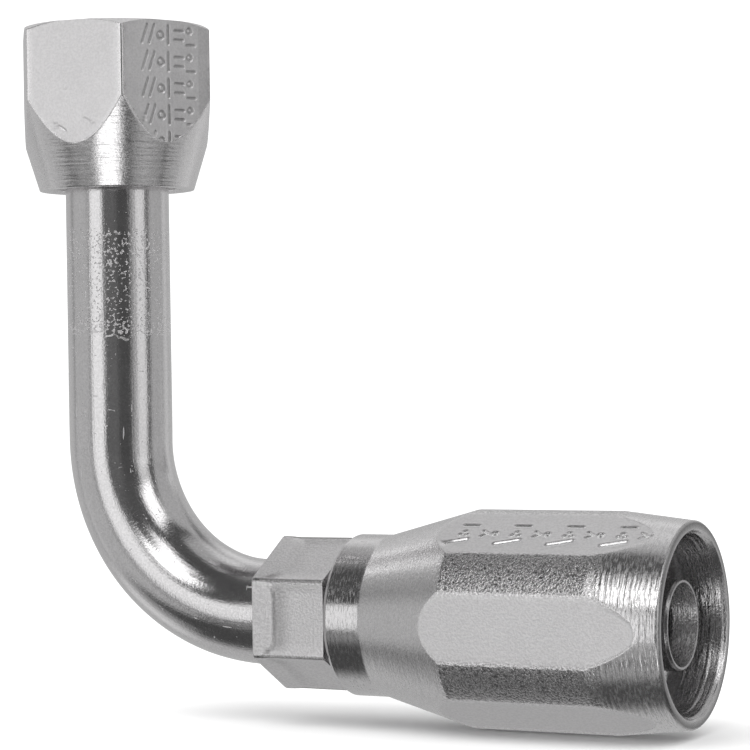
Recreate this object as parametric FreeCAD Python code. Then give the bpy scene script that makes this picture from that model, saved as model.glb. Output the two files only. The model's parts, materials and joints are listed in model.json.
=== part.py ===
import FreeCAD, Part
import math
import os

from FreeCAD import Vector

# Reusable 90 degree hose end with a 37 degree flared swivel, all sizes in millimetres.
#
# The frame: the origin is the centre of the flare's lip, where a mating fitting seats.
# +Z leaves through the mouth of the swivel nut.  +X leaves through the mouth of the socket,
# along the hose.  The hose axis lies DROP below the origin.

# ---- driving dimensions --------------------------------------------------------------

DROP = 63.5                    # flare seat down to the hose axis
TUBE_R = 6.35                  # half inch tube, outside
TUBE_WALL = 1.65
TUBE_BORE_R = TUBE_R - TUBE_WALL
BEND_R = 20.7                  # centre line of the bend
RUNNING_GAP = 0.08             # radial clearance of a turning or sliding fit
SEAT_GAP = 0.15                # clearance between coned faces of pieces that move apart

FLARE_ANGLE = math.radians(37)
FLARE_R = 8.2                  # outside of the flare's lip
LIP_INNER_R = 7.75             # where the inner cone meets the lip plane
LIP_DEPTH = 1.57               # lip plane down to the start of the outer cone

SLEEVE_FRONT_R = 8.0           # where the sleeve's inner cone meets its front face
SLEEVE_HEAD_R = 8.35
SLEEVE_SHOULDER_Z = -5.2
SLEEVE_TAIL_R = 7.66
SLEEVE_REAR_Z = -11.6

NUT_FLATS = 22.225             # seven eighths of an inch across flats
NUT_MOUTH_Z = 7.9
NUT_REAR_Z = -12.05
NUT_TURN = -24.2               # direction of one flat about +Z, in degrees from +X
NUT_REAR_R = 9.5
NUT_REAR_SLOPE = 0.3044        # radius gained for each millimetre above the rear face
NUT_THREAD_R = 8.73            # minor radius of the 3/4-16 thread
NUT_THREAD_END_Z = 0.1
NUT_RELIEF_R = 9.65
NUT_RELIEF_END_Z = -1.9
NUT_BORE_R = 8.6
NUT_CHAMFER_R = 11.3           # the top face runs out to this radius
NUT_CHAMFER_DROP = 0.85        # fall of the chamfer at the corners

HEX_FLATS = 15.875             # five eighths of an inch across flats
HEX_START_X = 22.7
HEX_END_X = 32.1
HEX_CORNER_CUT = 0.2
STAKE_FROM_EDGE = 2.9          # first edge of the pressed groove on each flat
STAKE_WIDTH = 1.8
STAKE_DEPTH = 0.18
SOCKET_WELD_DEPTH = 6.8        # how far the tube goes into the hex
BRAZE_LEG = 0.9

NECK_R = 7.0
THREAD_START_X = 33.6
THREAD_END_X = 43.6
THREAD_R = 7.94                # 5/8-18 thread, major radius
TAPER_START_R = 6.9
TAPER_END_X = 54.0
INSERT_R = 5.16
INSERT_END_X = 73.35
NIPPLE_BORE_R = 4.1
INSERT_MOUTH_R = 4.72
INSERT_MOUTH_DEPTH = 2.8
INSERT_LEAD = 0.3

SOCKET_FLATS = 23.8125         # fifteen sixteenths of an inch across flats
SOCKET_START_X = 32.75
COLLAR_END_X = 37.5
COLLAR_R = 9.5
COLLAR_CHAMFER = (0.8, 0.45)   # along the axis, across it
BODY_START_X = 48.7
BODY_END_X = 66.25
BODY_R = 12.6
MOUTH_X = 74.8
MOUTH_R = 11.65
MOUTH_EDGE = 0.25
MOUTH_BORE_R = 10.2
MOUTH_LEAD_R = 10.56
MOUTH_LEAD = 0.55
SOCKET_THREAD_R = 8.2          # clears the nipple's thread
SOCKET_THREAD_END_X = 45.0
HOSE_CREST_R = 9.4             # coarse rings that bite into the hose cover
HOSE_ROOT_R = 9.95
HOSE_PITCH = 2.8
HOSE_RINGS = 8
HOSE_RINGS_END_X = 70.4        # the mouth narrows evenly down to the first ring

CORNER_RATIO = 2 / math.sqrt(3)   # a hexagon's radius over corners for its radius over flats


# ---- helpers -------------------------------------------------------------------------

def on_leg(position, radius):
    """A point of a section about the nut's axis: height, then radius."""
    return Vector(radius, 0, position)


def on_hose(position, radius):
    """A point of a section about the hose axis: distance along it, then radius."""
    return Vector(position, 0, radius - DROP)


AXIS_OF = {
    on_leg: (Vector(0, 0, 0), Vector(0, 0, 1)),
    on_hose: (Vector(0, 0, -DROP), Vector(1, 0, 0)),
}


def turned(section, place):
    """Turn a closed section, given as (position, radius) corners, about its axis."""
    corners = [place(position, radius) for position, radius in section]
    corners.append(corners[0])
    face = Part.Face(Part.makePolygon(corners))
    centre, direction = AXIS_OF[place]
    return face.revolve(centre, direction, 360)


def hexagon(flats, start, end, place, turn):
    """A hexagonal bar along an axis. turn is the direction of one flat's centre."""
    corner_r = flats / 2 * CORNER_RATIO
    corners = []
    for corner in range(7):
        angle = math.radians(turn + 30 + 60 * corner)
        across = corner_r * math.cos(angle)
        up = corner_r * math.sin(angle)
        if place is on_leg:
            corners.append(Vector(across, up, start))
        else:
            corners.append(Vector(start, across, up - DROP))
    _, direction = AXIS_OF[place]
    return Part.Face(Part.makePolygon(corners)).extrude(direction * (end - start))


def save(name, shape):
    """Write one piece as a STEP file, after checking that it is one closed solid."""
    shape = shape.removeSplitter()
    solid = shape.Solids[0]
    if len(shape.Solids) != 1 or not solid.isValid():
        raise RuntimeError(name + " is not one valid solid")
    solid.exportStep("parts/" + name + ".step")
    box = solid.optimalBoundingBox()
    size = "%.2f x %.2f x %.2f" % (box.XLength, box.YLength, box.ZLength)
    print("%-14s volume %9.1f  size %s" % (name, solid.Volume, size))


# ---- pieces --------------------------------------------------------------------------

def flare_outer_z(radius):
    """Height of the flare's outer cone at a radius."""
    return -LIP_DEPTH - (FLARE_R - radius) / math.tan(FLARE_ANGLE)


def elbow_tube():
    """The bent tube: flared end, straight leg, quarter bend and the stub inside the hex."""
    bend_top = BEND_R - DROP
    flare_bottom = flare_outer_z(TUBE_R)
    cone_bottom = -(LIP_INNER_R - TUBE_BORE_R) / math.tan(FLARE_ANGLE)
    lip_round = 0.35
    leg = turned([
        (bend_top, TUBE_BORE_R),
        (cone_bottom, TUBE_BORE_R),
        (0, LIP_INNER_R),
        (0, FLARE_R - lip_round),
        (-lip_round, FLARE_R),
        (-LIP_DEPTH, FLARE_R),
        (flare_bottom, TUBE_R),
        (bend_top, TUBE_R),
    ], on_leg)

    outer = Part.Wire(Part.makeCircle(TUBE_R, Vector(0, 0, bend_top)))
    inner = Part.Wire(Part.makeCircle(TUBE_BORE_R, Vector(0, 0, bend_top)))
    ring = Part.Face(outer).cut(Part.Face(inner)).Faces[0]
    bend = ring.revolve(Vector(BEND_R, 0, bend_top), Vector(0, -1, 0), 90)

    stub_end = HEX_START_X + SOCKET_WELD_DEPTH
    stub = turned([
        (BEND_R, TUBE_BORE_R),
        (BEND_R, TUBE_R),
        (stub_end, TUBE_R),
        (stub_end, TUBE_BORE_R),
    ], on_hose)
    return leg.fuse(bend).fuse(stub)


def flare_sleeve():
    """The loose sleeve behind the flare: an inner cone, a head and a long guiding tail."""
    bore = TUBE_R + RUNNING_GAP
    cone_gap = SEAT_GAP / math.sin(FLARE_ANGLE)
    front = flare_outer_z(SLEEVE_FRONT_R) - cone_gap
    throat = flare_outer_z(bore) - cone_gap
    edge = 0.2
    tail_edge = 0.3
    return turned([
        (front, SLEEVE_FRONT_R),
        (front, SLEEVE_HEAD_R - edge),
        (front - edge, SLEEVE_HEAD_R),
        (SLEEVE_SHOULDER_Z, SLEEVE_HEAD_R),
        (SLEEVE_SHOULDER_Z - (SLEEVE_HEAD_R - SLEEVE_TAIL_R), SLEEVE_TAIL_R),
        (SLEEVE_REAR_Z + tail_edge, SLEEVE_TAIL_R),
        (SLEEVE_REAR_Z, SLEEVE_TAIL_R - tail_edge),
        (SLEEVE_REAR_Z, bore),
        (throat, bore),
    ], on_leg)


def swivel_nut():
    """The swivel nut: a hexagon with a chamfered mouth and a long coned rear."""
    corner_r = NUT_FLATS / 2 * CORNER_RATIO
    rear_cone_top = NUT_REAR_Z + (corner_r - NUT_REAR_R) / NUT_REAR_SLOPE
    beyond = corner_r + 1
    blank = turned([
        (NUT_REAR_Z, 0),
        (NUT_REAR_Z, NUT_REAR_R),
        (rear_cone_top, corner_r),
        (rear_cone_top, beyond),
        (NUT_MOUTH_Z - NUT_CHAMFER_DROP, beyond),
        (NUT_MOUTH_Z - NUT_CHAMFER_DROP, corner_r),
        (NUT_MOUTH_Z, NUT_CHAMFER_R),
        (NUT_MOUTH_Z, 0),
    ], on_leg)
    bar = hexagon(NUT_FLATS, NUT_REAR_Z, NUT_MOUTH_Z, on_leg, NUT_TURN)

    rear_bore = SLEEVE_TAIL_R + RUNNING_GAP
    lead_r = 9.9
    relief_slope = NUT_RELIEF_R - NUT_THREAD_R
    sleeve_shoulder = SLEEVE_SHOULDER_Z - SLEEVE_HEAD_R
    shoulder = sleeve_shoulder - SEAT_GAP * math.sqrt(2)
    rear_edge = 0.35
    hollow = turned([
        (NUT_MOUTH_Z, 0),
        (NUT_MOUTH_Z, lead_r),
        (NUT_MOUTH_Z - (lead_r - NUT_THREAD_R), NUT_THREAD_R),
        (NUT_THREAD_END_Z, NUT_THREAD_R),
        (NUT_THREAD_END_Z - relief_slope, NUT_RELIEF_R),
        (NUT_RELIEF_END_Z, NUT_RELIEF_R),
        (NUT_RELIEF_END_Z, NUT_BORE_R),
        (shoulder + NUT_BORE_R, NUT_BORE_R),
        (shoulder + rear_bore, rear_bore),
        (NUT_REAR_Z + rear_edge, rear_bore),
        (NUT_REAR_Z, rear_bore + rear_edge),
        (NUT_REAR_Z, 0),
    ], on_leg)
    return bar.common(blank).cut(hollow)


def stake_cutters():
    """One shallow pressed groove across each flat of the nipple's hexagon."""
    groove_r = (STAKE_WIDTH ** 2 / 4 + STAKE_DEPTH ** 2) / (2 * STAKE_DEPTH)
    middle_x = HEX_START_X + STAKE_FROM_EDGE + STAKE_WIDTH / 2
    flat_width = HEX_FLATS / math.sqrt(3)
    length = flat_width - 1.2
    above_flat = HEX_FLATS / 2 - STAKE_DEPTH + groove_r
    cutters = []
    for side in range(6):
        cutter = Part.makeCylinder(groove_r, length, Vector(middle_x, above_flat, -DROP - length / 2),
                                   Vector(0, 0, 1))
        cutter.rotate(Vector(0, 0, -DROP), Vector(1, 0, 0), 60 * side)
        cutters.append(cutter)
    return cutters


def nipple():
    """The nipple: hexagon with a socket for the tube, male thread, taper and hose insert."""
    corner_r = HEX_FLATS / 2 * CORNER_RATIO
    beyond = corner_r + 1
    hex_end_face_r = corner_r - 1.2 * HEX_CORNER_CUT
    trim = turned([
        (HEX_START_X, 0),
        (HEX_START_X, hex_end_face_r),
        (HEX_START_X + HEX_CORNER_CUT, corner_r),
        (HEX_START_X + HEX_CORNER_CUT, beyond),
        (HEX_END_X - HEX_CORNER_CUT, beyond),
        (HEX_END_X - HEX_CORNER_CUT, corner_r),
        (HEX_END_X, hex_end_face_r),
        (HEX_END_X, 0),
    ], on_hose)
    body = hexagon(HEX_FLATS, HEX_START_X, HEX_END_X, on_hose, 0).common(trim)
    for cutter in stake_cutters():
        body = body.cut(cutter)

    thread_edge = 0.7
    stem = turned([
        (HEX_END_X, 0),
        (HEX_END_X, NECK_R),
        (THREAD_START_X - thread_edge, NECK_R),
        (THREAD_START_X, THREAD_R),
        (THREAD_END_X - thread_edge, THREAD_R),
        (THREAD_END_X, TAPER_START_R),
        (TAPER_END_X, INSERT_R),
        (INSERT_END_X - INSERT_LEAD, INSERT_R),
        (INSERT_END_X, INSERT_R - 0.6 * INSERT_LEAD),
        (INSERT_END_X, 0),
    ], on_hose)

    stub_end = HEX_START_X + SOCKET_WELD_DEPTH
    tube_fit = TUBE_R + 0.05
    hollow = turned([
        (HEX_START_X, 0),
        (HEX_START_X, tube_fit),
        (stub_end, tube_fit),
        (stub_end, NIPPLE_BORE_R),
        (INSERT_END_X - INSERT_MOUTH_DEPTH, NIPPLE_BORE_R),
        (INSERT_END_X, INSERT_MOUTH_R),
        (INSERT_END_X, 0),
    ], on_hose)
    return body.fuse(stem).cut(hollow)


def braze_ring():
    """The fillet of braze metal round the tube, against the end of the hexagon."""
    foot = on_hose(HEX_START_X - BRAZE_LEG, TUBE_R)
    root = on_hose(HEX_START_X, TUBE_R)
    crown = on_hose(HEX_START_X, TUBE_R + BRAZE_LEG)
    sag = BRAZE_LEG * (1 - math.sqrt(0.5))
    hollow = on_hose(HEX_START_X - sag, TUBE_R + sag)
    edges = [
        Part.Arc(foot, hollow, crown).toShape(),
        Part.makeLine(crown, root),
        Part.makeLine(root, foot),
    ]
    centre, direction = AXIS_OF[on_hose]
    return Part.Face(Part.Wire(edges)).revolve(centre, direction, 360)


def hose_rings():
    """Section corners of the coarse rings inside the socket, from the mouth inwards."""
    corners = []
    flank = 0.45
    for ring in range(HOSE_RINGS):
        right = HOSE_RINGS_END_X - ring * HOSE_PITCH
        corners.append((right, HOSE_CREST_R))
        corners.append((right - 0.3 * HOSE_PITCH, HOSE_CREST_R))
        corners.append((right - 0.3 * HOSE_PITCH - flank, HOSE_ROOT_R))
        corners.append((right - HOSE_PITCH + flank, HOSE_ROOT_R))
    corners.append((HOSE_RINGS_END_X - HOSE_RINGS * HOSE_PITCH, HOSE_CREST_R))
    return corners


def socket():
    """The socket: a turned collar and cone, six flats, a tapered mouth and the hose cavity."""
    corner_r = SOCKET_FLATS / 2 * CORNER_RATIO
    chamfer_long, chamfer_across = COLLAR_CHAMFER
    blank = turned([
        (SOCKET_START_X, 0),
        (SOCKET_START_X, COLLAR_R - chamfer_across),
        (SOCKET_START_X + chamfer_long, COLLAR_R),
        (COLLAR_END_X, COLLAR_R),
        (BODY_START_X, BODY_R),
        (BODY_END_X, BODY_R),
        (MOUTH_X - MOUTH_EDGE, MOUTH_R),
        (MOUTH_X, MOUTH_R - MOUTH_EDGE),
        (MOUTH_X, 0),
    ], on_hose)
    bar = hexagon(SOCKET_FLATS, SOCKET_START_X - 1, MOUTH_X + 1, on_hose, 0)

    thread_lead = 0.5
    cavity_start_x = HOSE_RINGS_END_X - HOSE_RINGS * HOSE_PITCH
    section = [
        (SOCKET_START_X, 0),
        (SOCKET_START_X, SOCKET_THREAD_R + thread_lead),
        (SOCKET_START_X + thread_lead, SOCKET_THREAD_R),
        (SOCKET_THREAD_END_X, SOCKET_THREAD_R),
        (cavity_start_x - HOSE_CREST_R + SOCKET_THREAD_R, SOCKET_THREAD_R),
    ]
    section += reversed(hose_rings())
    section += [
        (MOUTH_X - MOUTH_LEAD, MOUTH_BORE_R),
        (MOUTH_X, MOUTH_LEAD_R),
        (MOUTH_X, 0),
    ]
    return blank.common(bar).cut(turned(section, on_hose))


os.makedirs("parts", exist_ok=True)
save("elbow_tube", elbow_tube())
save("flare_sleeve", flare_sleeve())
save("swivel_nut", swivel_nut())
save("nipple", nipple())
save("braze_ring", braze_ring())
save("socket", socket())
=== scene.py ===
import json
import math

import bpy
import numpy as np
from mathutils import Matrix, Vector


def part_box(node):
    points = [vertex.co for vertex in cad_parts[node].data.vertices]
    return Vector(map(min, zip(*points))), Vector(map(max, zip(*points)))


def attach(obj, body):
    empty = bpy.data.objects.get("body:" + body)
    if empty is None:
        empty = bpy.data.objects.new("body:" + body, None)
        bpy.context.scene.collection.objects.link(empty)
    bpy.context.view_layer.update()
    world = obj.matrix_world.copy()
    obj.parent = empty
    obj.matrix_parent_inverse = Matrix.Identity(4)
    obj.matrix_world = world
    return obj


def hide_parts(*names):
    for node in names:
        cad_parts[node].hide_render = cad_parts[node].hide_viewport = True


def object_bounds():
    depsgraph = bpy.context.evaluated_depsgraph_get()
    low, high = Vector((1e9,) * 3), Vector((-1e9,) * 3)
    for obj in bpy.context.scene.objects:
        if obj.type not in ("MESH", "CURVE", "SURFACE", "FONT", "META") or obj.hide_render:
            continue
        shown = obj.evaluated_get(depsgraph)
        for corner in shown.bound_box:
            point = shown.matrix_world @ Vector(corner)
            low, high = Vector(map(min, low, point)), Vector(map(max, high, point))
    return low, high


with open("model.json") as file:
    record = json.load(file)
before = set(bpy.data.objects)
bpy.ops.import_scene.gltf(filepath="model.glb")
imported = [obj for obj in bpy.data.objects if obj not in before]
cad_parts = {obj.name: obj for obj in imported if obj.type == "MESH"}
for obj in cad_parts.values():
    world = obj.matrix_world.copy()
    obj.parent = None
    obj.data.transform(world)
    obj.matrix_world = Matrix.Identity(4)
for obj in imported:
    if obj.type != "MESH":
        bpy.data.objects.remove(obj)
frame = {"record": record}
cad_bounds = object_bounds()

# The pieces and the camera are worked out in millimetres in the part's own frame, and scaled on
# the way out. +Z leaves the swivel nut's mouth, +X leaves the socket's mouth, and the origin is
# the middle of the flare's lip.

MM = 0.001
MOUNTS = {mount["name"]: mount for mount in frame["record"]["mounts"]}
HOSE_Z = MOUNTS["hose_insert"]["pos_m"][2] / MM
NUT_THREAD_R = MOUNTS["swivel_thread"]["dims"]["r_mm"]
INSERT_R = MOUNTS["hose_insert"]["dims"]["r_mm"]

SHARP_DEGREES = 38              # edges that turn by more than this many degrees stay crisp
HEX_CORNER_ROUND = 0.18         # how far from a hexagon's corner its rounding begins
CREASE_ROUND = 0.05             # the same where a flat meets a turned surface
CREASE_BAND = 0.08              # the narrow strip of mesh on each side of a crease
WEAR_REACH = 0.2                # how far edge wear and the painted edge highlight and shade fade in from an edge
SQUARE_END = 0.0001             # the end ease of a flat that ends with no rounding
BLEND_PASSES = 8                # how often finishes are averaged where one part meets the next
WAVES = 6                       # sine waves in each uneven line
FILLET_SHARE = 0.45             # the most of a section's edge that one fillet uses
EDGE_COLUMNS = 5                # columns on each side of the dense part of a flat
CREST_SHARE = 0.12              # the flat crest of a screw thread, as a share of its pitch
HOSE_CREST_SHARE = 0.22         # the same for the rings that grip the hose
RIGHT_HAND = 1
LEFT_HAND = -1


def node_box(name):
    """Lowest and highest corner of a CAD node, in millimetres."""
    low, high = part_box(name)
    return [value / MM for value in low], [value / MM for value in high]


# ---- sections ------------------------------------------------------------------------

def smooth(edge0, edge1, value):
    """0 before edge0, 1 after edge1, and an easy curve between them."""
    t = np.clip((value - edge0) / (edge1 - edge0), 0, 1)
    return t * t * (3 - 2 * t)


def soft_min(a, b, width):
    """The smaller of two values, rounded where they are within width of each other."""
    h = np.clip(width - np.abs(a - b), 0, None) / width
    return np.minimum(a, b) - h * h * width / 4


def wander(position, pitch, seed):
    """A smooth uneven wave of about the given pitch, between -1 and 1, the same on every run."""
    rng = np.random.default_rng(seed)
    total = np.zeros_like(position, dtype=float)
    for _ in range(WAVES):
        length = pitch * rng.uniform(0.6, 1.9)
        total += np.sin(2 * np.pi * position / length + rng.uniform(0, 2 * np.pi))
    return total / WAVES


def section(corners, arc_steps=4):
    """A closed section as dense points, from corners of position, radius, fillet, step and part.

    The step is the spacing of points up to the next corner. It gives arrays of position, radius and
    the part name of the run that each point lies on.
    """
    count = len(corners)
    plan = [np.array(corner[:2], float) for corner in corners]
    points, parts = [], []
    cut_in, cut_out = [], []
    for i, corner in enumerate(corners):
        to_last = plan[i - 1] - plan[i]
        to_next = plan[(i + 1) % count] - plan[i]
        last_length = np.linalg.norm(to_last)
        next_length = np.linalg.norm(to_next)
        to_last /= last_length
        to_next /= next_length
        half = math.acos(np.clip(to_last @ to_next, -1, 1)) / 2
        fillet = corner[2] / max(math.tan(half), 1e-6)
        reach = min(fillet, FILLET_SHARE * last_length, FILLET_SHARE * next_length)
        cut_in.append(plan[i] + to_last * reach)
        cut_out.append(plan[i] + to_next * reach)
    for i, corner in enumerate(corners):
        if corner[2] > 0:
            for t in np.linspace(0, 1, arc_steps + 1):
                start, middle, end = cut_in[i], plan[i], cut_out[i]
                points.append((1 - t) ** 2 * start + 2 * t * (1 - t) * middle + t * t * end)
                parts.append(corner[4])
        else:
            points.append(plan[i])
            parts.append(corner[4])
        start = cut_out[i]
        end = cut_in[(i + 1) % count]
        steps = max(1, int(round(np.linalg.norm(end - start) / corner[3])))
        for j in range(1, steps):
            points.append(start + (end - start) * j / steps)
            parts.append(corner[4])
    points = np.array(points)
    return points[:, 0], points[:, 1], np.array(parts)


# ---- meshes --------------------------------------------------------------------------

def ring_mesh(name, points, layers):
    """A mesh that closes both ways, from rings x columns of points in millimetres.

    layers are per-point values kept on the mesh for the materials to read.
    """
    rings, columns = points.shape[:2]
    index = np.arange(rings * columns).reshape(rings, columns)
    down = np.roll(index, -1, axis=0)
    quads = np.stack([index, np.roll(index, -1, axis=1), np.roll(down, -1, axis=1), down], axis=-1)
    quads = quads.reshape(-1, 4)
    flat = points.reshape(-1, 3) * MM
    a, b, c, d = (flat[quads[:, i]] for i in range(4))
    volume = np.einsum("ij,ij->i", a, np.cross(b, c) + np.cross(c, d)).sum()
    if volume < 0:
        quads = quads[:, ::-1]
    mesh = bpy.data.meshes.new(name)
    mesh.from_pydata(flat.tolist(), [], quads.tolist())
    mesh.polygons.foreach_set("use_smooth", np.ones(len(quads), bool))
    mesh.set_sharp_from_angle(angle=math.radians(SHARP_DEGREES))
    for layer, values in layers.items():
        values = np.asarray(values, np.float32)
        kind, field = ("FLOAT_VECTOR", "vector") if values.ndim == 3 else ("FLOAT", "value")
        attribute = mesh.attributes.new(layer, kind, "POINT")
        attribute.data.foreach_set(field, values.reshape(-1))
    mesh.update()
    piece = bpy.data.objects.new(name, mesh)
    bpy.context.scene.collection.objects.link(piece)
    return piece


# The angle round each axis that faces the reference view.
LEG_FRONT = math.radians(302.5)
TUBE_FRONT = math.radians(147.5)
HOSE_FRONT = math.pi


def unroll(angle, front):
    """An angle that runs back on itself behind a piece, so that a pattern laid by it has no seam."""
    start = front - np.pi / 2
    return start + np.pi - np.abs(np.mod(angle - start, 2 * np.pi) - np.pi)


def leg_place(position, across, up):
    """Points about the nut's axis: height along it, then two directions across it."""
    return np.stack([across, up, position], axis=-1)


def hose_place(position, across, up):
    """Points about the hose axis: distance along it, then Y and height above it."""
    return np.stack([position, across, up + HOSE_Z], axis=-1)


def hexagon_radius(angle, flats, turn, sink):
    """Radius of a hexagonal bar at an angle, its flats sunk by a depth, its corners eased."""
    sector = np.round((angle - turn) / (np.pi / 3))
    off = angle - turn - sector * np.pi / 3
    own = (flats / 2 - sink) / np.cos(off)
    neighbour = (flats / 2) / np.cos(np.pi / 3 - np.abs(off))
    return soft_min(own, neighbour, HEX_CORNER_ROUND)


def flat_spread(count, low=-1.0, high=1.0):
    """Where the columns of a flat lie between its edges, -1 to 1, count of them from low to high."""
    before = np.linspace(-1, low, EDGE_COLUMNS)[:-1] if low > -1 else []
    after = np.linspace(high, 1, EDGE_COLUMNS)[1:] if high < 1 else []
    return np.concatenate([before, np.linspace(low, high, count), after])


def hexagon_columns(crease, turn, turned_count, spreads, edge):
    """Column angles round a ring whose creases lie this many radians from each flat's centre."""
    angles = []
    for side in range(6):
        centre = turn + side * np.pi / 3
        near = min(edge, crease / 3, (np.pi / 6 - crease) / 3)
        left = np.linspace(-np.pi / 6, -crease - near, turned_count + 1)
        flat = spreads[side] * (crease - near)
        right = np.linspace(crease + near, np.pi / 6, turned_count + 1)[:-1]
        angles.append(centre + np.concatenate([left, [-crease], flat, [crease], right]))
    return np.concatenate(angles)


def finish_layers(parts, finish, columns):
    """Per-point values of the finish of each part of a section, eased where one part meets the next."""
    table = np.array([finish.get(part, finish["rest"]) for part in parts])
    for _ in range(BLEND_PASSES):
        table = (np.roll(table, 1, axis=0) + 2 * table + np.roll(table, -1, axis=0)) / 4
    names = ("groove", "speck", "rough", "tone", "torn")
    return {name: np.repeat(table[:, i][:, None], columns, axis=1) for i, name in enumerate(names)}


def hexagon_piece(name, place, front, shape, flats, turn, limited, end_ease, sink, bore, columns, finish):
    """A bar of hexagon stock turned to a section: nuts, hexagons and the socket.

    front is the angle that faces the reference view; shape is a section; limited names the parts
    that the flats cut; end_ease rounds the flats' ends; sink(position, across, side, inset) is the
    depth pressed into a flat, and the share of it toned as a stamped mark (on the nipple, a painted
    shadow past the pressed step), inset millimetres inside the flat's edge; bore(position, angle,
    radius, part) changes the radius of the other parts, as a thread does; columns is the count of
    columns between a flat and a corner, then the spread over each flat.
    """
    position, radius, parts = shape
    rings = len(position)
    is_limited = np.isin(parts, limited)
    low_crease, high_crease = math.radians(1.6), math.radians(29.3)
    ratio = np.clip(flats / 2 / np.maximum(radius, flats / 2), -1, 1)
    crease = np.clip(np.arccos(ratio), low_crease, high_crease)
    known = np.where(is_limited)[0]
    crease = np.interp(np.arange(rings), known, crease[known], period=rings)
    turned_count, spreads = columns
    edge = CREASE_BAND / (flats / 2)
    angle = np.array([hexagon_columns(c, turn, turned_count, spreads, edge) for c in crease])
    pos = np.repeat(position[:, None], angle.shape[1], axis=1)
    rad = np.repeat(radius[:, None], angle.shape[1], axis=1)

    sector = np.round((angle - turn) / (np.pi / 3))
    side = sector.astype(int) % 6
    off = angle - turn - sector * np.pi / 3
    across = flats / 2 * np.tan(off)
    inset = (crease[:, None] - np.abs(off)) * flats / 2
    depth, stamped = sink(pos, across, side, inset)
    start, end = position[known].min(), position[known].max()
    near_end = np.minimum(pos - start, end - pos)
    fall = end_ease - np.sqrt(end_ease ** 2 - np.clip(end_ease - near_end, 0, end_ease) ** 2)
    hexagon = hexagon_radius(angle, flats, turn, depth + fall)
    outer = soft_min(rad, hexagon, CREASE_ROUND)
    inner = bore(pos, angle, rad, parts)
    final = np.where(is_limited[:, None], outer, inner)
    points = place(pos, final * np.cos(angle), final * np.sin(angle))

    on_flat = smooth(0.0, 0.06, rad - hexagon) * is_limited[:, None]
    crease_far = np.abs(np.abs(off) - crease[:, None]) * flats / 2
    corner_far = np.abs(np.pi / 6 - np.abs(off)) * flats / 2
    # Closeness to the flats' edges: where the edges are worn smoother, and where a painted highlight and
    # shade line lie.
    wear_and_edge_light = np.exp(-np.minimum(crease_far, corner_far) / WEAR_REACH) * on_flat
    layers = finish_layers(parts, finish, angle.shape[1])
    crosswise = np.where(on_flat > 0.5, across, rad * unroll(angle, front))
    layers["skin"] = np.stack([pos, crosswise, side], axis=-1)
    layers["flat"] = on_flat
    layers["wear_and_edge_light"] = wear_and_edge_light
    # Stamped marks, and on the nipple a painted shadow past the pressed step, for the materials to paint
    # lighter and darker.
    layers["stamped"] = stamped * on_flat
    return ring_mesh(name, points, layers)


def round_piece(name, place, front, shape, columns, finish, change):
    """A turned piece: a section swept round an axis, its radius altered by change."""
    position, radius, parts = shape
    turn = np.linspace(0, 2 * np.pi, columns, endpoint=False)
    angle = np.repeat(turn[None, :], len(position), axis=0)
    pos = np.repeat(position[:, None], columns, axis=1)
    rad = np.repeat(radius[:, None], columns, axis=1)
    rad = change(pos, angle, rad, parts)
    points = place(pos, rad * np.cos(angle), rad * np.sin(angle))
    layers = finish_layers(parts, finish, columns)
    layers["skin"] = np.stack([pos, rad * unroll(angle, front), np.zeros_like(rad)], axis=-1)
    return ring_mesh(name, points, layers)


def thread(position, angle, pitch, height, crest, hand, start, end):
    """Height of a screw thread above its root, faded in and out at its ends."""
    phase = np.mod(position / pitch - hand * angle / (2 * np.pi), 1.0)
    ridge = 1 - np.abs(2 * phase - 1)
    form = np.clip((ridge - crest) / (1 - 2 * crest), 0, 1)
    fade = smooth(start, start + pitch, position) * (1 - smooth(end - pitch, end, position))
    return height * form * fade


# ---- marks pressed into the flats ----------------------------------------------------

def stroke_depth(s, t, strokes, width, deep):
    """Depth of marks stamped along strokes, with a faint raised lip round each, and where they are."""
    nearest = np.full_like(s, 9.0)
    for kind, *values in strokes:
        if kind == "line":
            s0, t0, s1, t1 = values
            along = np.clip(((s - s0) * (s1 - s0) + (t - t0) * (t1 - t0))
                            / ((s1 - s0) ** 2 + (t1 - t0) ** 2), 0, 1)
            distance = np.hypot(s - s0 - along * (s1 - s0), t - t0 - along * (t1 - t0))
        else:
            s0, t0, ring = values
            distance = np.abs(np.hypot(s - s0, t - t0) - ring)
        nearest = np.minimum(nearest, distance)
    mark = 1 - smooth(0.25 * width, width, nearest)
    lip = smooth(width, 1.3 * width, nearest) * (1 - smooth(1.3 * width, 2.2 * width, nearest))
    return deep * (mark - 0.12 * lip), mark


# ---- the six pieces ------------------------------------------------------------------

# How each part of a turned section is left: groove depth, speck depth, roughness, tone, torn share. A
# tone below 1 on rims, faces in shadow and deep bores is painted shade; a tone above 1 on the socket's
# hose rings is painted light.
SATIN = (0.008, 0.006, 0.34, 1.0, 0.0)
TURNED = (0.035, 0.004, 0.2, 1.0, 0.35)
BORED = (0.07, 0.02, 0.24, 0.95, 0.4)
# RIM and SHADED tones are painted shade: darker rims, and end faces and insert walls in shadow.
RIM = (0.03, 0.01, 0.27, 0.5, 0.0)
SHADED = (0.03, 0.006, 0.25, 0.6, 0.2)
DRAWN = (0.0, 0.004, 0.15, 1.0, 0.0)

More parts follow.
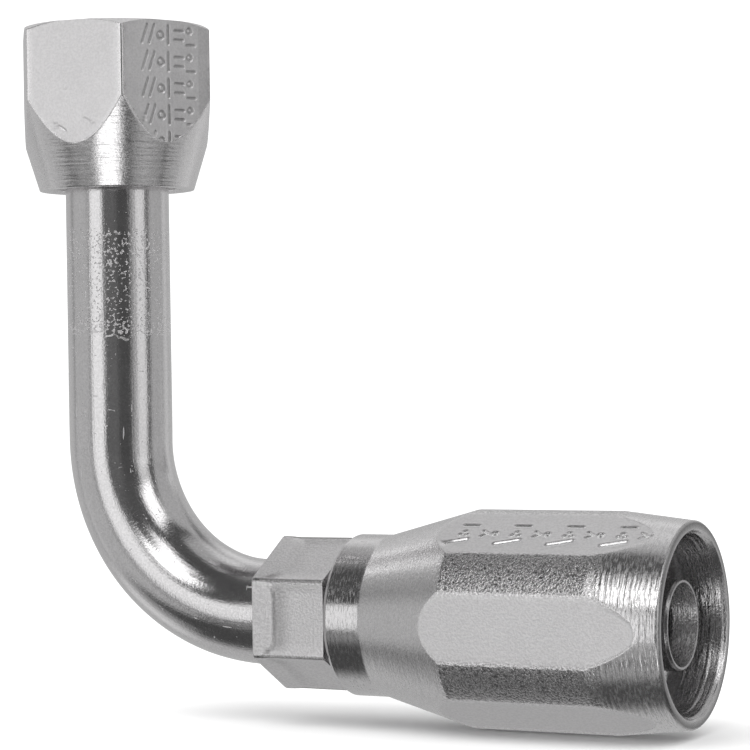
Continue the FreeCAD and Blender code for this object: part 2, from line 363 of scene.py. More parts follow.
NUT_FLATS = 22.225
NUT_TURN = math.radians(180 - 24.2)
NUT_REAR_R = 9.5
NUT_REAR_SLOPE = 0.3044
NUT_CHAMFER_R = 11.3
NUT_CHAMFER_DROP = 0.85
NUT_PITCH = 1.5875
NUT_ROOT_R = 9.53
NUT_LEAD_R = 9.9                # the thread's chamfered start
NUT_RELIEF_END = -1.9
NUT_RELIEF_R = 9.65             # the clearance behind the thread
NUT_MIDDLE_R = 8.6              # the bore round the sleeve's head
NUT_TAIL_R = 7.74               # the bore round the sleeve's tail
NUT_MARKED_SIDE = 3
NUT_ROWS = 5
NUT_ROW_PITCH = 3.2
NUT_FIRST_ROW = 6.1


def nut_marks(z, t, side, inset):
    """Rows of plain tally marks stamped down one flat of the nut."""
    strokes = []
    for row in range(NUT_ROWS):
        middle = NUT_FIRST_ROW - row * NUT_ROW_PITCH
        low, high = middle - 1.1, middle + 1.1
        strokes += [
            ("line", low, -3.5, high, -2.7),
            ("line", low, -2.5, high, -1.7),
            ("ring", middle - 0.1, -0.8, 0.42),
            ("line", low, 0.3, high, 0.3),
            ("line", middle + 0.55, 1.2, middle + 0.55, 2.5),
            ("line", middle - 0.55, 1.2, middle - 0.55, 2.5),
            ("ring", middle + 0.6, 3.4, 0.3),
            ("line", low, 3.0, low, 4.2),
        ]
    depth, mark = stroke_depth(z, t, strokes, width=0.22, deep=0.11)
    strip = smooth(4.66, 4.74, t)
    here = side == NUT_MARKED_SIDE
    clear = smooth(0.31, 0.5, inset)
    nicks = [
        ("line", -4.2, -2.9, -5.3, -1.2),
        ("line", -5.1, -2.7, -4.6, -2.3),
        ("line", -3.9, 1.3, -4.7, 2.6),
    ]
    nick_depth, nick = stroke_depth(z, t, nicks, width=0.13, deep=0.05)
    beside = side == NUT_MARKED_SIDE - 1
    pressed = here * (depth * clear + 0.05 * strip) + beside * nick_depth
    return pressed, here * (mark * clear + 0.42 * strip) + beside * 0.4 * nick


def swivel_nut():
    """The swivel nut, with its turned rear cone, chamfered mouth, real thread and stamped rows."""
    low, high = node_box("swivel_nut")
    rear, mouth = low[2], high[2]
    corner_r = NUT_FLATS / math.sqrt(3)
    cone_top = rear + (corner_r - NUT_REAR_R) / NUT_REAR_SLOPE
    shape = section([
        (rear, NUT_TAIL_R + 0.35, 0.0, 0.5, "face"),
        (rear, NUT_REAR_R, 0.15, 0.105, "cone"),
        (cone_top, corner_r + 0.05, 0.0, 0.12, "top"),
        (mouth - NUT_CHAMFER_DROP, corner_r + 0.05, 0.0, 0.1, "top"),
        (mouth, NUT_CHAMFER_R, 0.12, 9, "top"),
        (mouth, NUT_FLATS / 2 - 0.1, 0.0, 0.3, "face"),
        (mouth, NUT_LEAD_R, 0.08, 0.2, "inner"),
        (mouth - (NUT_LEAD_R - NUT_THREAD_R), NUT_THREAD_R, 0.05, 0.15, "thread"),
        (0.1, NUT_THREAD_R, 0.05, 0.25, "inner"),
        (-0.82, NUT_RELIEF_R, 0.1, 0.4, "inner"),
        (NUT_RELIEF_END, NUT_RELIEF_R, 0.1, 0.4, "inner"),
        (NUT_RELIEF_END, NUT_MIDDLE_R, 0.1, 0.5, "inner"),
        (-5.16, NUT_MIDDLE_R, 0.05, 0.4, "inner"),
        (-6.02, NUT_TAIL_R, 0.05, 0.6, "inner"),
        (rear + 0.35, NUT_TAIL_R, 0.0, 0.2, "inner"),
    ])
    position, radius, parts = shape
    ridges = 0.008 * wander(position, 0.36, 11) + 0.008 * wander(position, 0.9, 12)
    radius = radius + ridges * (parts == "cone")

    def bore(pos, angle, rad, names):
        depth = NUT_ROOT_R - NUT_THREAD_R
        form = thread(pos, angle, NUT_PITCH, depth, CREST_SHARE, RIGHT_HAND, 0.3,
                      mouth + 2 * NUT_PITCH)
        cut = np.maximum(rad, NUT_THREAD_R + form)
        keep = (names == "thread")[:, None] | ((names == "inner")[:, None] & (pos > 5))
        return np.where(keep, cut, rad)

    plain = flat_spread(11)
    marked = flat_spread(88, -0.68, 0.82)
    spreads = [plain] * 6
    spreads[NUT_MARKED_SIDE] = marked
    spreads[NUT_MARKED_SIDE - 1] = flat_spread(50, -0.55, 0.5)
    finish = {"cone": TURNED, "top": SATIN, "face": SATIN, "thread": BORED, "rest": BORED}
    return hexagon_piece("swivel_nut_body", leg_place, LEG_FRONT, (position, radius, parts), NUT_FLATS,
                         NUT_TURN, ["cone", "top"], SQUARE_END, nut_marks, bore, (7, spreads), finish)


SLEEVE_FRONT = -2.07
SLEEVE_REAR = -11.6
SLEEVE_HEAD_R = 8.35
SLEEVE_TAIL_R = 7.66
SLEEVE_BORE_R = 6.43


def flare_sleeve():
    """The sleeve behind the flare, plainly turned."""
    shape = section([
        (SLEEVE_FRONT, 8.0, 0.0, 0.2, "face"),
        (SLEEVE_FRONT, SLEEVE_HEAD_R, 0.15, 0.2, "head"),
        (-5.2, SLEEVE_HEAD_R, 0.1, 0.15, "head"),
        (-5.89, SLEEVE_TAIL_R, 0.1, 0.15, "tail"),
        (SLEEVE_REAR, SLEEVE_TAIL_R, 0.25, 0.4, "face"),
        (SLEEVE_REAR, SLEEVE_BORE_R, 0.1, 0.3, "inner"),
        (-4.17, SLEEVE_BORE_R, 0.05, 0.3, "inner"),
    ])

    def change(pos, angle, rad, names):
        ridges = 0.006 * wander(pos, 0.4, 41) + 0.004 * wander(pos, 1.1, 42)
        return rad + ridges * np.isin(names, ["head", "tail"])[:, None]

    finish = {"head": TURNED, "tail": TURNED, "face": SATIN, "rest": BORED}
    return round_piece("flare_sleeve_body", leg_place, LEG_FRONT, shape, 128, finish, change)


BEND_R = 20.7
BEND_LENGTH = BEND_R * math.pi / 2
LEG_LENGTH = -(BEND_R + HOSE_Z)
TUBE_R = 6.35
TUBE_BORE_R = 4.7
FLARE_R = 8.2


def tube_place(length, across, out):
    """Points about the tube's centre line, at a length along it from the flare's lip."""
    turn = np.clip((length - LEG_LENGTH) / BEND_R, 0, np.pi / 2)
    straight = np.minimum(length, LEG_LENGTH)
    stub = np.maximum(length - LEG_LENGTH - BEND_LENGTH, 0)
    centre_x = BEND_R - BEND_R * np.cos(turn) + stub
    centre_z = -straight - BEND_R * np.sin(turn)
    return np.stack([
        centre_x + out * np.cos(turn),
        across,
        centre_z + out * np.sin(turn),
    ], axis=-1)


def elbow_tube():
    """The bent tube with its 37 degree flare."""
    end = LEG_LENGTH + BEND_LENGTH + node_box("elbow_tube")[1][0] - BEND_R
    shape = section([
        (0, 7.75, 0.08, 0.3, "face"),
        (0, FLARE_R, 0.35, 0.3, "outer"),
        (1.57, FLARE_R, 0.4, 0.3, "outer"),
        (4.02, TUBE_R, 0.5, 0.45, "outer"),
        (end, TUBE_R, 0.2, 0.4, "face"),
        (end, TUBE_BORE_R, 0.2, 0.7, "inner"),
        (4.05, TUBE_BORE_R, 0.5, 0.3, "inner"),
    ])

    def change(pos, angle, rad, names):
        turn = (pos - LEG_LENGTH) / BEND_LENGTH
        bent = smooth(-0.08, 0.12, turn) * (1 - smooth(0.88, 1.08, turn))
        oval = -0.012 * np.sin(angle) ** 2 + 0.006 * np.cos(angle) ** 2
        ripple = 0.006 * wander(pos, 4.0, 5) * bent * (np.sin(angle) < 0)
        wave = 0.004 * wander(pos + 3 * np.sin(angle), 9.0, 6)
        return rad * (1 + bent * oval) + ripple + wave

    finish = {"outer": DRAWN, "face": SATIN, "rest": BORED}
    return round_piece("elbow_tube_body", tube_place, TUBE_FRONT, shape, 144, finish, change)


NIPPLE_FLATS = 15.875
HEX_LENGTH = 9.4
HEX_CHAMFER = 0.2
PAD_LENGTH = 2.45
PAD_CORNER = 1.6
PRESS_DEPTH = 0.22
NECK_R = 7.0
NIPPLE_THREAD_R = 7.94
NIPPLE_THREAD_DEPTH = 0.78
NIPPLE_PITCH = 1.411
NIPPLE_BORE_R = 4.1
INSERT_MOUTH_R = 4.72


def press_marks(x, t, side, inset):
    """The round-cornered pad left at one end of each flat where clamping jaws pressed the rest, with a
    painted shadow just past its step.
    """
    from_edge = x - node_box("nipple")[0][0]
    half = NIPPLE_FLATS / 2 / math.sqrt(3)
    past = np.clip((np.abs(t) - (half - 0.5 - PAD_CORNER)) / PAD_CORNER, 0, 1)
    drift = 0.1 * np.sin(side * 2.1) * (1 - past)
    edge = PAD_LENGTH + drift - PAD_CORNER * (1 - np.sqrt(1 - past ** 2))
    beyond = np.clip(from_edge - edge, 0, HEX_LENGTH)
    even_side = side % 2 == 0
    fall_width = np.where(even_side, 1.7, 0.95)
    shadow_share = np.where(even_side, 0.2, 1.0)
    fall = PRESS_DEPTH * smooth(0.0, fall_width, beyond) * (1 - 0.05 * beyond)
    keep = 1 - 0.45 * smooth(half - 1.6, half, np.abs(t))
    # A painted shadow just past the pressed step, full on odd sides and a fifth as strong on even ones.
    shadow = smooth(0.1, 0.5, beyond) * (1 - smooth(0.9, 3.1, beyond)) * (1 - past ** 4)
    return fall * keep, shadow * shadow_share


def nipple():
    """The nipple: hexagon with jaw marks, screw thread, taper and the insert for the hose."""
    low, high = node_box("nipple")
    start, end = low[0], high[0]
    hex_end = start + HEX_LENGTH
    corner_r = NIPPLE_FLATS / math.sqrt(3)
    tube_fit = TUBE_R + 0.05
    tube_seat = node_box("elbow_tube")[1][0]
    thread_start, thread_end, taper_end = 33.6, 43.6, 54.0
    shape = section([
        (start, tube_fit, 0.1, 9, "face"),
        (start, corner_r - 0.24, 0.0, 0.1, "hexagon"),
        (start + HEX_CHAMFER, corner_r + 0.05, 0.0, 0.11, "hexagon"),
        (hex_end - HEX_CHAMFER, corner_r + 0.05, 0.0, 0.1, "hexagon"),
        (hex_end, corner_r - 0.24, 0.0, 9, "hexagon"),
        (hex_end, NIPPLE_FLATS / 2 - 0.3, 0.0, 0.15, "end face"),
        (hex_end, NECK_R, 0.15, 0.3, "stem"),
        (thread_start - 0.7, NECK_R, 0.1, 0.18, "thread"),
        (thread_start, NIPPLE_THREAD_R, 0.0, 0.18, "thread"),
        (thread_end - 0.7, NIPPLE_THREAD_R, 0.0, 0.18, "thread"),
        (thread_end, 6.9, 0.2, 0.5, "stem"),
        (taper_end, INSERT_R, 1.5, 0.5, "insert"),
        (end - 0.3, INSERT_R, 0.15, 0.1, "insert"),
        (end, INSERT_R - 0.18, 0.06, 0.15, "face"),
        (end, INSERT_MOUTH_R, 0.06, 0.2, "inner"),
        (end - 2.8, NIPPLE_BORE_R, 0.4, 0.7, "inner"),
        (tube_seat, NIPPLE_BORE_R, 0.1, 0.5, "inner"),
        (tube_seat, tube_fit, 0.1, 0.8, "inner"),
    ])

    def stem(pos, angle, rad, names):
        form = thread(pos, angle, NIPPLE_PITCH, NIPPLE_THREAD_DEPTH, CREST_SHARE, RIGHT_HAND,
                      thread_start - 1.0, thread_end + 0.6)
        ridged = np.minimum(rad, NIPPLE_THREAD_R - NIPPLE_THREAD_DEPTH + form + 0.02)
        return np.where((names == "thread")[:, None], np.maximum(ridged, NECK_R), rad)

    # Painted shade: the hexagon's end face and the insert are SHADED, the faces take the darker RIM tone,
    # and the bore inside takes a darker rest tone.
    finish = {"hexagon": SATIN, "end face": SHADED, "face": RIM, "stem": TURNED, "insert": SHADED,
              "rest": (0.07, 0.02, 0.24, 0.76, 0.4)}
    return hexagon_piece("nipple_body", hose_place, HOSE_FRONT, shape, NIPPLE_FLATS, 0.0, ["hexagon"],
                         0.09, press_marks, stem, (5, [flat_spread(30)] * 6), finish)


def braze_ring():
    """The braze fillet, a little uneven as the metal ran."""
    hex_start = node_box("nipple")[0][0]
    leg = 0.9               # the fillet's reach along the tube and up the hexagon

    def change(pos, angle, rad, names):
        flow = 1 + 0.16 * wander(unroll(angle, HOSE_FRONT) * 7, 6.0, 21)
        return TUBE_R - 0.01 + (rad - TUBE_R) * np.clip(flow, 0.7, 1.1)

    sag = leg * (1 - math.sqrt(0.5))
    shape = section([
        (hex_start - leg, TUBE_R, 0.0, 0.2, "outer"),
        (hex_start - 0.62 * leg, TUBE_R + 0.07, 0.0, 0.2, "outer"),
        (hex_start - sag, TUBE_R + sag, 0.0, 0.2, "outer"),
        (hex_start - 0.07, TUBE_R + 0.62 * leg, 0.0, 0.2, "outer"),
        (hex_start, TUBE_R + leg, 0.0, 0.3, "outer"),
        (hex_start, TUBE_R, 0.0, 0.3, "inner"),
    ])
    finish = {"rest": (0.0, 0.02, 0.3, 0.95, 0.0)}
    return round_piece("braze_ring_body", hose_place, HOSE_FRONT, shape, 144, finish, change)


SOCKET_FLATS = 23.8125
SOCKET_MARKED_SIDE = 2
SOCKET_MARKS = 4
SOCKET_MARK_PITCH = 6.4
SOCKET_FIRST_MARK = 47.6
COLLAR_R = 9.5
BODY_R = 12.6
MOUTH_R = 11.65
SOCKET_THREAD_R = 8.2
HOSE_CREST_R = 9.4
HOSE_ROOT_R = 9.95
HOSE_PITCH = 2.8


def socket_marks(x, t, side, inset):
    """The same plain marks stamped along one flat: a slanted bar, dots, a chevron and a dash."""
    bars = []
    strokes = []
    for repeat in range(SOCKET_MARKS):
        at = SOCKET_FIRST_MARK + repeat * SOCKET_MARK_PITCH
        bars.append(("line", at, 2.2, at + 2.7, 1.35))
        strokes += [
            ("line", at + 4.1, -0.4, at + 4.8, 0.15),
            ("line", at + 4.8, 0.15, at + 4.1, 0.7),
            ("ring", at + 5.7, 0.15, 0.3),
            ("ring", at + 1.5, 0.45, 0.13),
            ("ring", at + 2.3, 0.45, 0.13),
            ("ring", at + 1.9, -0.2, 0.13),
            ("line", at + 1.3, -1.5, at + 3.1, -1.5),
        ]
    bar_depth, bar_mark = stroke_depth(x, t, bars, width=0.38, deep=0.2)
    depth, mark = stroke_depth(x, t, strokes, width=0.26, deep=0.14)
    clear = (side == SOCKET_MARKED_SIDE) * smooth(0.35, 0.6, inset)
    return clear * (depth + bar_depth), clear * np.maximum(mark, bar_mark)


def socket():
    """The socket: collar, cone, six flats with turned corners, tapered mouth and hose thread."""
    low, high = node_box("socket")
    start, mouth = low[0], high[0]
    collar_end, body_start, body_end = 37.5, 48.7, 66.25
    rings_start, rings_end = 48.0, 70.4
    taper_start = body_end + 1.6
    taper_start_r = BODY_R + (MOUTH_R - BODY_R) * (taper_start - body_end) / (mouth - body_end)
    shape = section([
        (start, SOCKET_THREAD_R + 0.5, 0.0, 0.3, "face"),
        (start, COLLAR_R - 0.4, 0.1, 0.2, "collar"),
        (start + 0.5, COLLAR_R, 0.1, 0.14, "collar"),
        (collar_end, COLLAR_R, 0.8, 0.26, "cone"),
        (body_start, BODY_R, 0.35, 0.13, "body"),
        (body_end, BODY_R, 0.5, 0.115, "run-out"),
        (taper_start, taper_start_r, 0.0, 0.115, "taper"),
        (mouth - 0.2, MOUTH_R, 0.18, 0.1, "taper"),
        (mouth, MOUTH_R - 0.25, 0.1, 0.25, "face"),
        (mouth, 10.66, 0.08, 0.14, "lead"),
        (mouth - 0.55, 10.2, 0.1, 0.1, "entry"),
        (mouth - 1.5, 10.0, 0.0, 0.1, "entry"),
        (mouth - 1.6, 9.9, 0.0, 0.1, "entry"),
        (rings_end, HOSE_CREST_R, 0.0, 0.2, "hose"),
        (rings_end - 1.0, HOSE_CREST_R, 0.0, 0.25, "hose"),
        (rings_end - 6.0, HOSE_CREST_R, 0.0, 0.6, "hose"),
        (rings_start, HOSE_CREST_R, 0.0, 0.4, "inner"),
        (rings_start - 1.2, SOCKET_THREAD_R, 0.1, 1.0, "inner"),
        (start + 0.5, SOCKET_THREAD_R, 0.05, 0.2, "inner"),
    ], arc_steps=3)
    position, radius, parts = shape
    fine = wander(position, 0.38, 31)
    coarse = wander(position, 0.9, 32)
    radius = radius + (0.009 * fine + 0.008 * coarse) * np.isin(parts, ["run-out", "taper"])
    radius = radius + (0.005 * fine + 0.004 * coarse) * np.isin(parts, ["collar", "cone"])
    radius = radius + (0.02 * fine + 0.01 * coarse) * np.isin(parts, ["lead", "entry"])

    def bore(pos, angle, rad, names):
        depth = HOSE_ROOT_R - HOSE_CREST_R
        form = thread(pos, angle, HOSE_PITCH, depth, HOSE_CREST_SHARE, LEFT_HAND,
                      rings_start - 1.4, rings_end + 0.8)
        return np.where((names == "hose")[:, None], np.maximum(rad, HOSE_CREST_R + form), rad)

    plain = flat_spread(11)
    marked = flat_spread(58, -0.62, 0.72)
    spreads = [marked if side == SOCKET_MARKED_SIDE else plain for side in range(6)]
    finish = {
        "collar": (0.012, 0.002, 0.12, 0.92, 0.65),
        "cone": (0.016, 0.006, 0.25, 0.95, 0.15),
        "body": (0.0, 0.027, 0.19, 0.96, 0.0),
        "run-out": (0.03, 0.02, 0.18, 1.0, 0.6),
        "taper": (0.07, 0.003, 0.16, 1.02, 0.8),
        # Painted shade: the mouth's rim face is toned much darker.
        "face": (0.03, 0.01, 0.27, 0.15, 0.0),
        "lead": (0.1, 0.01, 0.16, 0.95, 0.6),
        # Painted shade inside the mouth.
        "entry": (0.11, 0.012, 0.17, 0.75, 0.6),
        # Painted light on the hose rings deep inside the socket.
        "hose": (0.03, 0.02, 0.5, 1.25, 0.0),
        "rest": BORED,
    }
    outside = ["collar", "cone", "body", "run-out", "taper"]
    return hexagon_piece("socket_body", hose_place, HOSE_FRONT, (position, radius, parts), SOCKET_FLATS,
                         0.0, outside, SQUARE_END, socket_marks, bore, (7, spreads), finish)


# ---- materials -----------------------------------------------------------------------

class Graph:
    """Short calls for building a node tree."""

    def __init__(self, tree):
        self.tree = tree
        self.tree.nodes.clear()

    def add(self, kind, inputs=None, **settings):
        node = self.tree.nodes.new(kind)
        for name, value in settings.items():
            setattr(node, name, value)
        for name, value in (inputs or {}).items():
            socket_in = node.inputs[name]
            if isinstance(value, bpy.types.NodeSocket):
                self.tree.links.new(value, socket_in)
            else:
                socket_in.default_value = value
        return node

    def math(self, operation, a, b=0.0, clamp=False):
        return self.add("ShaderNodeMath", {0: a, 1: b}, operation=operation, use_clamp=clamp).outputs[0]

    def vector(self, operation, a, b=(0, 0, 0)):
        node = self.add("ShaderNodeVectorMath", {0: a, 1: b}, operation=operation)
        return node.outputs["Value" if operation == "DOT_PRODUCT" else "Vector"]

    def ease(self, value, low, high, to_low=0.0, to_high=1.0):
        inputs = {"Value": value, "From Min": low, "From Max": high, "To Min": to_low, "To Max": to_high}
        node = self.add("ShaderNodeMapRange", inputs, interpolation_type="SMOOTHSTEP")
        return node.outputs["Result"]

    def mix(self, share, a, b):
        node = self.add("ShaderNodeMix", {"Factor": share, 2: a, 3: b}, data_type="FLOAT")
        return node.outputs[0]

    def noise(self, vector, scale, detail=3.0, rough=0.55):
        inputs = {"Vector": vector, "Scale": scale, "Detail": detail, "Roughness": rough}
        return self.add("ShaderNodeTexNoise", inputs).outputs["Fac"]

    def layer(self, name, output="Fac"):
        return self.add("ShaderNodeAttribute", attribute_name=name).outputs[output]


def plated_steel(name, tone, flat_rough=0.3, streak=0.0, grain=0.0, painted_stamp_light=0.0, painted_edge_light=0.08,
                 own_marks=None):
    """Zinc-plated steel: drawing streaks and grain on flats, tool grooves and specks on turned parts.

    streak and grain are heights in millimetres. Above zero the stamp value paints a highlight into
    stamped marks and polishes them; below zero it paints shade into them and roughens them, which on
    the nipple is a painted shadow past the pressed step. The edge value paints a highlight along the
    flats' edges, and below zero a painted shade line there.
    own_marks(g, skin, place) can add a height, in millimetres, and a share of dull patches that
    belong to one piece only.
    """
    material = bpy.data.materials.new(name)
    material.use_nodes = True
    g = Graph(material.node_tree)
    skin = g.layer("skin", "Vector")
    flat = g.layer("flat")
    wear_and_edge_light = g.layer("wear_and_edge_light")
    speck = g.layer("speck")
    stamped = g.layer("stamped")
    place = g.vector("MULTIPLY", g.add("ShaderNodeTexCoord").outputs["Object"], (1000, 1000, 1000))

    rings = g.noise(g.vector("MULTIPLY", skin, (1, 0.02, 0)), 2.3, 2.0, 0.6)
    broken = g.noise(g.vector("MULTIPLY", skin, (1, 0.12, 0)), 3.8, 2.0, 0.6)
    tool = g.math("ADD", g.math("MULTIPLY", rings, 0.5), g.math("MULTIPLY", broken, 0.5))
    streaks = g.noise(g.vector("MULTIPLY", skin, (0.05, 1, 3)), 4.0, 3.0, 0.6)
    sand = g.noise(place, 3.6, 2.0, 0.65)
    grit = g.math("SUBTRACT", g.ease(sand, 0.32, 0.68), 0.5)
    cloud = g.math("SUBTRACT", g.noise(place, 0.17, 3.0, 0.5), 0.5)
    stain = g.math("SUBTRACT", g.noise(place, 1.1, 4.0, 0.6), 0.5)

    turned_height = g.math("ADD", g.math("MULTIPLY", tool, g.layer("groove")),
                           g.math("MULTIPLY", grit, speck))
    torn = g.noise(g.vector("MULTIPLY", skin, (1, 0.16, 0)), 7.0, 2.0, 0.6)
    tears = g.math("MULTIPLY", g.ease(torn, 0.44, 0.64), g.layer("torn"))
    scuff = g.ease(g.noise(g.vector("MULTIPLY", skin, (0.9, 0.35, 5)), 1.6, 1.0), 0.74, 0.76)
    flat_height = g.math("ADD", g.math("MULTIPLY", streaks, streak), g.math("MULTIPLY", grit, grain))
    flat_height = g.math("SUBTRACT", flat_height, g.math("MULTIPLY", scuff, 0.01))
    height = g.mix(flat, turned_height, flat_height)
    turned_rough = g.math("ADD", g.layer("rough"), g.math("MULTIPLY", tears, 0.3))
    rough = g.mix(flat, turned_rough, flat_rough)
    rough = g.math("ADD", rough, g.math("MULTIPLY", cloud, 0.14))
    rough = g.math("ADD", rough, g.math("MULTIPLY", stain, 0.1))
    rough = g.math("SUBTRACT", rough, g.math("MULTIPLY", wear_and_edge_light, 0.12))
    rough = g.math("SUBTRACT", rough, g.math("MULTIPLY", stamped, 0.4 * painted_stamp_light), clamp=True)

    light = g.math("ADD", tone, g.math("MULTIPLY", cloud, 0.1))
    light = g.math("ADD", light, g.math("MULTIPLY", stain, 0.08))
    contrast = g.mix(flat, g.math("ADD", 0.04, g.math("MULTIPLY", speck, 13.0)), 0.05 + 6.0 * grain)
    light = g.math("ADD", light, g.math("MULTIPLY", grit, contrast))
    # A painted highlight along the flats' edges, and on the nipple a painted dark line there.
    edge = g.ease(wear_and_edge_light, 0.5, 0.9)
    light = g.math("ADD", light, g.math("MULTIPLY", edge, painted_edge_light))
    # Painted light in stamped marks: a highlight in the socket's, shade in the nut's, and a shadow past
    # the nipple's pressed step.
    light = g.math("ADD", light, g.math("MULTIPLY", stamped, painted_stamp_light))
    # Per-part tone: painted shade on rims, shaded faces and deep bores, painted light on the socket's
    # hose rings.
    light = g.math("MULTIPLY", light, g.mix(flat, g.layer("tone"), 1.0))
    if own_marks:
        own_height, dull = own_marks(g, skin, place)
        height = g.math("ADD", height, own_height)
        rough = g.mix(dull, rough, 0.6)
        light = g.math("ADD", light, g.math("MULTIPLY", dull, 0.22))
    bump = g.add("ShaderNodeBump", {"Height": height, "Distance": MM, "Strength": 1.0})
    colour = g.add("ShaderNodeCombineColor", {
        "Red": g.math("MULTIPLY", light, 1.006),
        "Green": g.math("MULTIPLY", light, 0.992),
        "Blue": light,
    })
    shader = g.add("ShaderNodeBsdfPrincipled", {
        "Base Color": colour.outputs[0],
        "Metallic": 1.0,
        "Roughness": rough,
        "Normal": bump.outputs[0],
    })
    g.add("ShaderNodeOutputMaterial", {"Surface": shader.outputs[0]})
    return material


def tube_marks(g, skin, place):
    """Marks on the bent tube: drawing lines, a flecked patch with ragged ends, and stray scratches."""
    length = g.add("ShaderNodeSeparateXYZ", {0: skin}).outputs[0]
    drawing = g.noise(g.vector("MULTIPLY", skin, (0.02, 1, 0)), 4.0, 2.0, 0.6)
    drift = g.math("MULTIPLY", g.math("SUBTRACT", g.noise(place, 0.4, 2.0), 0.5), 3.0)
    along = g.math("ADD", length, drift)
    patch = g.math("MULTIPLY", g.ease(along, 16.5, 17.6), g.ease(along, 30.0, 29.4))
    near_top = g.math("MULTIPLY", patch, g.ease(along, 23.0, 18.0, 0.0, 0.05))
    near_end = g.math("MULTIPLY", patch, g.ease(along, 27.4, 29.4, 0.0, 0.09))
    share = g.math("ADD", g.math("MULTIPLY", patch, 0.13), g.math("ADD", near_top, near_end))
    fleck = g.noise(place, 3.0, 1.0, 0.5)
    flecks = g.ease(g.math("ADD", fleck, share), 0.745, 0.785)
    end_line = g.ease(g.math("ABSOLUTE", g.math("SUBTRACT", along, 29.9)), 0.11, 0.05)
    end_line = g.math("MULTIPLY", end_line, g.ease(g.noise(place, 0.9, 1.0), 0.45, 0.62, 0.1, 0.7))
    scratch = g.noise(g.vector("MULTIPLY", skin, (0.3, 2.6, 0)), 0.9, 1.0)
    scratches = g.ease(scratch, 0.73, 0.75)
    skid = g.noise(g.vector("MULTIPLY", skin, (3.0, 0.4, 0)), 0.8, 1.0)
    skids = g.ease(skid, 0.75, 0.765)
    marks = g.math("MAXIMUM", flecks, end_line)
    marks = g.math("MAXIMUM", marks, g.math("MAXIMUM", scratches, skids))
    height = g.math("SUBTRACT", g.math("MULTIPLY", drawing, 0.008), g.math("MULTIPLY", marks, 0.02))
    return height, marks


# ---- studio --------------------------------------------------------------------------

def heading(azimuth, elevation):
    """A direction in the part's frame: degrees about +Z from +X, then degrees up."""
    a, e = math.radians(azimuth), math.radians(elevation)
    return Vector((math.cos(a) * math.cos(e), math.sin(a) * math.cos(e), math.sin(e)))


def studio_card(g, direction, azimuth, elevation, half_width, half_height, blur, light):
    """Light from one soft-edged card, from where it hangs and its half sizes, all in degrees."""
    forward = heading(azimuth, elevation)
    right = Vector((-forward.y, forward.x, 0)).normalized()
    up = forward.cross(right)
    ahead = g.math("MAXIMUM", g.vector("DOT_PRODUCT", direction, tuple(forward)), 0.02)
    total = light
    for axis, half in ((right, half_width), (up, half_height)):
        off = g.math("DIVIDE", g.vector("DOT_PRODUCT", direction, tuple(axis)), ahead)
        edge, reach = math.tan(math.radians(half)), math.tan(math.radians(blur))
        total = g.math("MULTIPLY", g.ease(g.math("ABSOLUTE", off), edge + reach, edge - reach), total)
    return total


# azimuth, elevation, half width, half height, blur, light
CARDS = [
    (-108.5, 1.0, 15.5, 16.0, 3.0, 0.95),
    (-104.0, -25.0, 17.0, 8.0, 6.0, 0.26),
    (-152.0, -3.0, 24.0, 22.0, 5.0, 0.44),
    (-168.0, 33.0, 22.0, 10.0, 5.0, 0.34),
    (-178.0, -34.0, 18.0, 9.0, 5.0, 0.24),
    (-75.0, 0.0, 14.0, 14.0, 4.0, 0.06),
    (-25.0, 0.0, 6.0, 14.0, 3.0, 0.32),
    (-7.0, 0.0, 12.0, 14.0, 3.0, 0.74),
    (-13.0, 22.0, 12.0, 10.0, 4.0, 0.62),
    (-21.0, 41.0, 14.0, 13.0, 4.0, 1.45),
    (32.0, -5.0, 18.0, 20.0, 3.0, 0.38),
    (38.0, 38.0, 24.0, 22.0, 4.0, 0.38),
    (100.0, 76.0, 19.0, 19.0, 5.0, 0.36),
    (62.0, 0.0, 12.0, 20.0, 5.0, 0.12),
    (172.0, 40.0, 14.0, 3.0, 2.0, 1.0),
    (-69.0, -31.0, 14.0, 11.0, 4.0, 1.70),
    (-24.0, -26.0, 10.0, 9.0, 5.0, 0.36),
    (-4.0, -24.0, 12.0, 9.0, 5.0, 0.26),
    (-97.0, 31.5, 9.0, 9.5, 2.5, 2.1),
    (-83.0, 46.0, 12.0, 8.5, 3.5, 1.5),
    (-102.0, -46.0, 9.0, 8.0, 5.0, 0.34),
    (172.0, 40.0, 14.0, 7.0, 5.0, 0.35),
    (141.0, 54.0, 30.0, 20.0, 12.0, 0.34),
]


ROOM_CENTRE = (117.0, -15.0)    # azimuth and elevation of the bright side of the room
ROOM_DARK = 0.075
ROOM_BRIGHT = 0.52
BACKDROP = 1.2


def studio_world():
    """Near-white surroundings to the eye, and a darker studio with light cards in the reflections."""
    world = bpy.data.worlds.new("studio")
    world.use_nodes = True
    g = Graph(world.node_tree)
    direction = g.vector("NORMALIZE", g.add("ShaderNodeTexCoord").outputs["Generated"])
    behind = g.vector("DOT_PRODUCT", direction, tuple(heading(*ROOM_CENTRE)))
    total = g.ease(behind, 0.25, 0.60, ROOM_DARK, ROOM_BRIGHT)
    for card in CARDS:
        total = g.math("ADD", total, studio_card(g, direction, *card))
    rays = g.add("ShaderNodeLightPath")
    strength = g.mix(rays.outputs["Is Glossy Ray"], BACKDROP, total)
    light = g.add("ShaderNodeBackground", {"Color": (1, 1, 1, 1), "Strength": strength})
    g.add("ShaderNodeOutputWorld", {"Surface": light.outputs[0]})
    bpy.context.scene.world = world


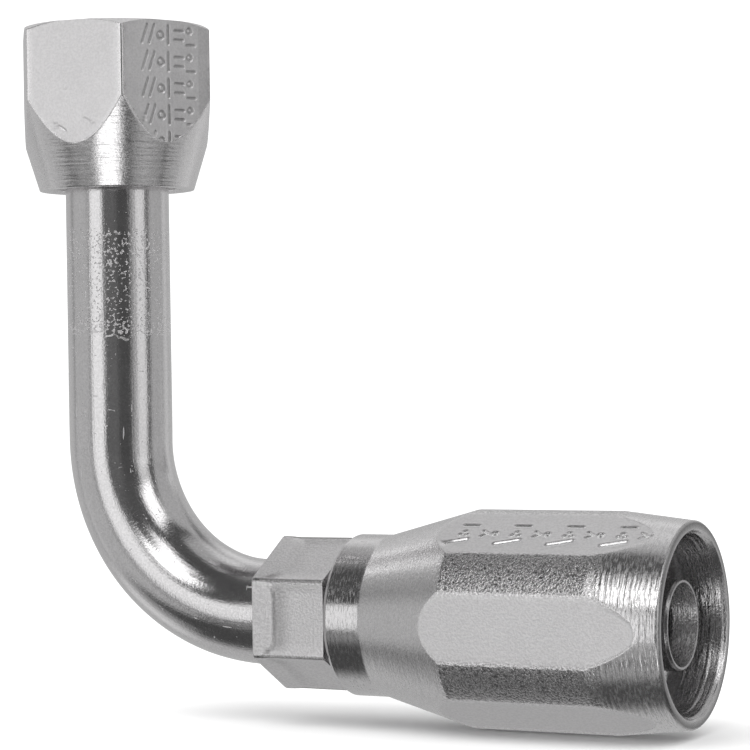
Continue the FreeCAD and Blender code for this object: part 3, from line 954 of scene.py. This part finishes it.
def floor():
    """A wide pale floor just under the socket, in metres, kept out of the metal's reflections."""
    half = 20.0
    level = cad_bounds[0].z - 0.0001
    mesh = bpy.data.meshes.new("floor")
    corners = [(-half, -half, level), (half, -half, level), (half, half, level), (-half, half, level)]
    mesh.from_pydata(corners, [], [(0, 1, 2, 3)])
    piece = bpy.data.objects.new("floor", mesh)
    bpy.context.scene.collection.objects.link(piece)
    material = bpy.data.materials.new("floor_paper")
    material.use_nodes = True
    g = Graph(material.node_tree)
    shade = g.add("ShaderNodeBsdfDiffuse", {"Color": (0.93, 0.93, 0.93, 1)})
    g.add("ShaderNodeOutputMaterial", {"Surface": shade.outputs[0]})
    mesh.materials.append(material)
    piece.visible_glossy = False


def soft_box():
    """One large soft lamp overhead, placed in metres, which only shapes the floor's light."""
    lamp = bpy.data.lights.new("soft_box", "AREA")
    lamp.size = 0.8
    lamp.energy = 4.0
    holder = bpy.data.objects.new("soft_box", lamp)
    holder.location = (-0.25, -0.35, 0.8)
    holder.rotation_euler = (-holder.location).to_track_quat("-Z", "Y").to_euler()
    holder.visible_glossy = False
    holder.visible_camera = False
    bpy.context.scene.collection.objects.link(holder)


def camera():
    """The camera at the reference viewing angle, close and level with the bend."""
    azimuth, elevation, roll = math.radians(26.963), math.radians(0.242), math.radians(-0.896)
    distance = 314.4
    target = Vector((35.36, 0, HOSE_Z + 28.27))
    back = Vector((math.sin(azimuth) * math.cos(elevation), -math.cos(azimuth) * math.cos(elevation),
                   math.sin(elevation)))
    level_right = Vector((math.cos(azimuth), math.sin(azimuth), 0))
    level_up = back.cross(level_right)
    right = math.cos(roll) * level_right + math.sin(roll) * level_up
    up = math.cos(roll) * level_up - math.sin(roll) * level_right
    place = (target + distance * back) * MM
    matrix = Matrix((right, up, back)).transposed().to_4x4()
    matrix.translation = place
    data = bpy.data.cameras.new("camera")
    data.sensor_width = 36.0
    data.lens = 128.19
    data.clip_start = 0.01
    holder = bpy.data.objects.new("camera", data)
    holder.matrix_world = matrix
    bpy.context.scene.collection.objects.link(holder)
    bpy.context.scene.camera = holder


# ---- putting it together -------------------------------------------------------------

# Stamp values paint shade into the nut's marks and past the nipple's pressed step, and a highlight into
# the socket's marks.
MATERIALS = {
    "tube": plated_steel("plated_tube", tone=0.72, own_marks=tube_marks),
    "sleeve": plated_steel("plated_sleeve", tone=0.68),
    "nut": plated_steel("plated_nut", tone=0.79, flat_rough=0.34, streak=0.004, grain=0.006,
                        painted_stamp_light=-0.28),
    # The nipple's edge value paints a dark line along its flats' edges.
    "nipple": plated_steel("plated_nipple", tone=0.74, flat_rough=0.33, streak=0.01, grain=0.014,
                           painted_stamp_light=-0.17, painted_edge_light=-0.4),
    "braze": plated_steel("plated_braze", tone=0.66),
    "socket": plated_steel("plated_socket", tone=0.75, flat_rough=0.36, streak=0.004, grain=0.008,
                           painted_stamp_light=0.34),
}

# piece, CAD node, body, material slot
PIECES = [
    (swivel_nut, "swivel_nut", "nut", "nut"),
    (flare_sleeve, "flare_sleeve", "sleeve", "sleeve"),
    (elbow_tube, "elbow_tube", "elbow", "tube"),
    (nipple, "nipple", "elbow", "nipple"),
    (braze_ring, "braze_ring", "elbow", "braze"),
    (socket, "socket", "socket", "socket"),
]

for make, node, body, slot in PIECES:
    made = make()
    made.data.materials.append(MATERIALS[slot])
    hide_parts(node)
    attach(made, body)

floor()
soft_box()
studio_world()
camera()
bpy.context.scene.view_settings.view_transform = "Standard"
